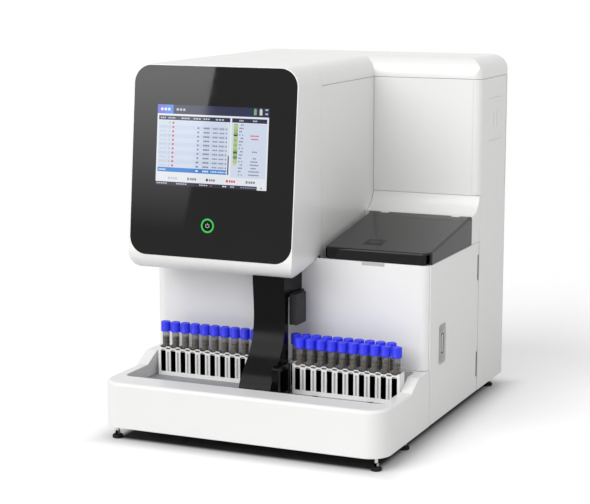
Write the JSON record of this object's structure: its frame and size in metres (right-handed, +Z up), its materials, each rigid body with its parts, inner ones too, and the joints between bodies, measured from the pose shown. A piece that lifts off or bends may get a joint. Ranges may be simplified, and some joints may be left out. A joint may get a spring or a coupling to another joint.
{
  "type": "urine analyzer",
  "caption": "Benchtop urine analyzer with a leaning glass touch-screen head, front rack bays of capped tubes, a curved sampler column, hinged smoked lid and side service door.",
  "frame": {"origin": "centre of the footprint, on the table under the feet", "axes": "+X to the user's right, +Y to the rear, +Z up"},
  "size_m": [0.6, 0.757, 0.736],
  "materials": {
    "white_casing": "satin moulded white",
    "white_painted_steel": "powder coat",
    "grey_deck": "fine texture",
    "grey_handle": "satin",
    "black_glass": "black-backed glass, polished",
    "screen": "lit panel",
    "green_light": "lit ring",
    "black_plastic": "gloss",
    "dark_plastic": "fine texture",
    "smoked_plastic": "smoked, polished",
    "steel_sheet": "zinc-plated sheet",
    "zinc_steel": "turned",
    "foot_rubber": "moulded",
    "white_rack": "satin",
    "tube_plastic": "clear plastic",
    "blue_cap": "satin",
    "board_green": "solder mask"
  },
  "bodies": {
    "chassis": {"base_pan": "steel_sheet", "foot_studs": "zinc_steel", "foot_pads": "foot_rubber", "tray_moulding": "white_casing", "rack_deck": "grey_deck", "front_panel": "white_casing", "left_side_panel": "white_casing", "right_side_panel": "white_casing", "side_port_cover": "white_casing", "rear_panel": "white_painted_steel", "head_front_shell": "white_casing", "head_side_panel": "white_casing", "top_cover": "white_casing", "tower_front_panel": "white_casing", "tower_cove": "white_casing", "display_glass": "black_glass", "display_module": "screen", "power_ring": "green_light", "button_switch": "dark_plastic", "column_cover": "black_plastic", "bay_divider": "black_plastic", "barcode_reader": "dark_plastic", "lid_hinge_pins": "zinc_steel", "upper_deck": "steel_sheet", "strip_hopper": "grey_deck", "drum_frame": "steel_sheet", "door_hinge_brackets": "steel_sheet", "door_hinge_pins": "zinc_steel", "door_magnet": "dark_plastic", "bin_runners": "steel_sheet", "inner_frame": "steel_sheet", "needle_rails": "zinc_steel", "optics_reader": "dark_plastic", "pump_block": "dark_plastic", "power_supply": "steel_sheet", "main_board": "board_green", "fan_housing": "black_plastic", "power_inlet": "black_plastic", "deck_guides": "zinc_steel"},
    "side_door": {"side_door": "white_casing", "door_handle_cup": "grey_handle"},
    "lid": {"lid": "smoked_plastic"},
    "waste_bin": {"waste_bin": "grey_deck"},
    "power_button": {"power_button": "black_plastic"},
    "input_pusher": {"input_pusher": "dark_plastic"},
    "output_pusher": {"output_pusher": "dark_plastic"},
    "lane_shuttle": {"lane_shuttle": "dark_plastic"},
    "needle_carriage": {"needle_carriage": "dark_plastic"},
    "sample_needle": {"sample_needle": "zinc_steel"},
    "strip_drum": {"strip_drum": "dark_plastic"},
    "fan_rotor": {"fan_rotor": "black_plastic"},
    "rack_input_front": {"rack_input_front": "white_rack"},
    "tubes_input_front": {"tubes_input_front": "tube_plastic"},
    "caps_input_front": {"caps_input_front": "blue_cap"},
    "rack_output": {"rack_output": "white_rack"},
    "tubes_output": {"tubes_output": "tube_plastic"},
    "caps_output": {"caps_output": "blue_cap"},
    "rack_input_lane": {"rack_input_lane": "white_rack", "tubes_input_lane": "tube_plastic", "caps_input_lane": "blue_cap"}
  },
  "joints": [
    {"name": "door_hinge", "type": "hinge", "parent": "chassis", "child": "side_door", "pos_m": [0.295, 0.1835, 0.19], "axis": [0, 0, 1], "range_deg": [0, 90]},
    {"name": "bin_slide", "type": "slide", "parent": "chassis", "child": "waste_bin", "axis": [1, 0, 0], "range_m": [0, 0.158]},
    {"name": "lid_hinge", "type": "hinge", "parent": "chassis", "child": "lid", "pos_m": [0.1875, 0.1275, 0.407], "axis": [-1, 0, 0], "range_deg": [0, 80]},
    {"name": "button_press", "type": "slide", "parent": "chassis", "child": "power_button", "axis": [0, 0.9951, -0.0993], "range_m": [0, 0.0015], "stiffness_N_per_m": 400, "springref_m": -0.001},
    {"name": "input_feed", "type": "slide", "parent": "chassis", "child": "input_pusher", "axis": [0, 1, 0], "range_m": [-0.066, 0.003]},
    {"name": "input_rack_slide", "type": "slide", "parent": "chassis", "child": "rack_input_front", "axis": [0, 1, 0], "range_m": [-0.066, 0.003]},
    {"name": "lane_feed", "type": "slide", "parent": "chassis", "child": "lane_shuttle", "axis": [-1, 0, 0], "range_m": [0, 0.06]},
    {"name": "lane_rack_slide", "type": "slide", "parent": "chassis", "child": "rack_input_lane", "axis": [-1, 0, 0], "range_m": [0, 0.06]},
    {"name": "output_feed", "type": "slide", "parent": "chassis", "child": "output_pusher", "axis": [0, -1, 0], "range_m": [0, 0.112]},
    {"name": "output_rack_slide", "type": "slide", "parent": "chassis", "child": "rack_output", "axis": [0, -1, 0], "range_m": [0, 0.112]},
    {"name": "arm_slide", "type": "slide", "parent": "chassis", "child": "needle_carriage", "axis": [0, 1, 0], "range_m": [-0.02, 0.026]},
    {"name": "needle_dip", "type": "slide", "parent": "needle_carriage", "child": "sample_needle", "axis": [0, 0, -1], "range_m": [0, 0.036]},
    {"name": "drum_spin", "type": "hinge", "parent": "chassis", "child": "strip_drum", "pos_m": [0.185, 0.0015, 0.2395], "axis": [1, 0, 0], "continuous": true},
    {"name": "fan_spin", "type": "hinge", "parent": "chassis", "child": "fan_rotor", "pos_m": [0.15, 0.3615, 0.56], "axis": [0, 1, 0], "continuous": true},
    {"name": "lift_tubes_input_front", "type": "slide", "parent": "rack_input_front", "child": "tubes_input_front", "axis": [0, 0, 1], "range_m": [0, 0.09]},
    {"name": "pull_caps_input_front", "type": "slide", "parent": "tubes_input_front", "child": "caps_input_front", "axis": [0, 0, 1], "range_m": [0, 0.02]},
    {"name": "lift_tubes_output", "type": "slide", "parent": "rack_output", "child": "tubes_output", "axis": [0, 0, 1], "range_m": [0, 0.09]},
    {"name": "pull_caps_output", "type": "slide", "parent": "tubes_output", "child": "caps_output", "axis": [0, 0, 1], "range_m": [0, 0.02]}
  ],
  "couplings": [
    {"joint": "bin_slide", "follows": "door_hinge", "m_per_rad": 0.1},
    {"joint": "input_feed", "follows": "input_rack_slide", "ratio": 1},
    {"joint": "lane_feed", "follows": "lane_rack_slide", "ratio": 1},
    {"joint": "output_feed", "follows": "output_rack_slide", "ratio": 1}
  ]
}
